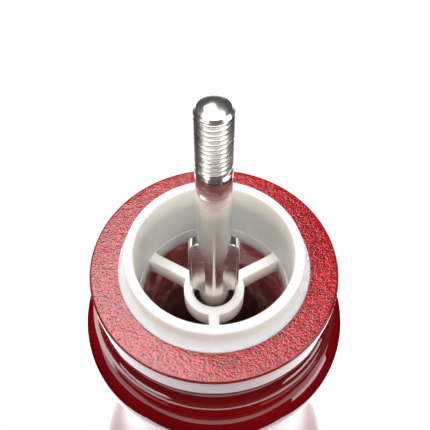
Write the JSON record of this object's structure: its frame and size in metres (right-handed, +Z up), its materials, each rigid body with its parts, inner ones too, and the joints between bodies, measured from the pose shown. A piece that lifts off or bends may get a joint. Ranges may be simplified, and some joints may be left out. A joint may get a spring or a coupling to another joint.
{
  "type": "pepper mill body",
  "caption": "Red lacquered wooden pepper mill body without its head: white filling collar, threaded drive shaft with wings, and a sprung conical burr mechanism in the foot.",
  "frame": {"origin": "centre of the foot's resting face, on the mill's axis", "axes": "+Z up along the drive shaft; the flat sides of the shaft's wings face +Y and -Y; one collar spoke points to -Y"},
  "size_m": [0.06, 0.06, 0.1524],
  "materials": {
    "red_lacquer": "high gloss red lacquer over turned beech, bare wood in the bores",
    "white_plastic": "warm white, satin moulded",
    "dark_plastic": "black, glass-filled, satin",
    "shaft_steel": "drawn and turned, bright",
    "burr_steel": "case-hardened, dark grey",
    "spring_steel": "drawn wire",
    "plated_steel": "bright zinc plate",
    "bronze": "sintered, oiled"
  },
  "bodies": {
    "mill_body": {"wood_body": "red_lacquer", "filling_collar": "white_plastic", "burr_housing": "dark_plastic", "ring_burr": "burr_steel", "burr_circlip": "spring_steel", "top_bridge": "plated_steel", "bridge_bush": "bronze", "spring_cap": "plated_steel", "burr_spring": "spring_steel", "housing_screw_1": "plated_steel", "housing_screw_2": "plated_steel", "housing_screw_3": "plated_steel"},
    "spring_thrust": {"spring_seat": "plated_steel", "thrust_washer": "white_plastic"},
    "shaft_assembly": {"drive_shaft": "shaft_steel", "shaft_clip": "spring_steel", "cone_burr": "burr_steel", "burr_washer": "plated_steel", "burr_screw": "plated_steel"}
  },
  "joints": [
    {"name": "grind_adjust", "type": "slide", "parent": "mill_body", "child": "spring_thrust", "axis": [0, 0, 1], "range_m": [0, 0.001], "stiffness_N_per_m": 2000, "springref_m": -0.004, "deforming": ["burr_spring"]},
    {"name": "shaft_turn", "type": "hinge", "parent": "spring_thrust", "child": "shaft_assembly", "pos_m": [0, 0, 0.1], "axis": [0, 0, 1], "continuous": true}
  ]
}
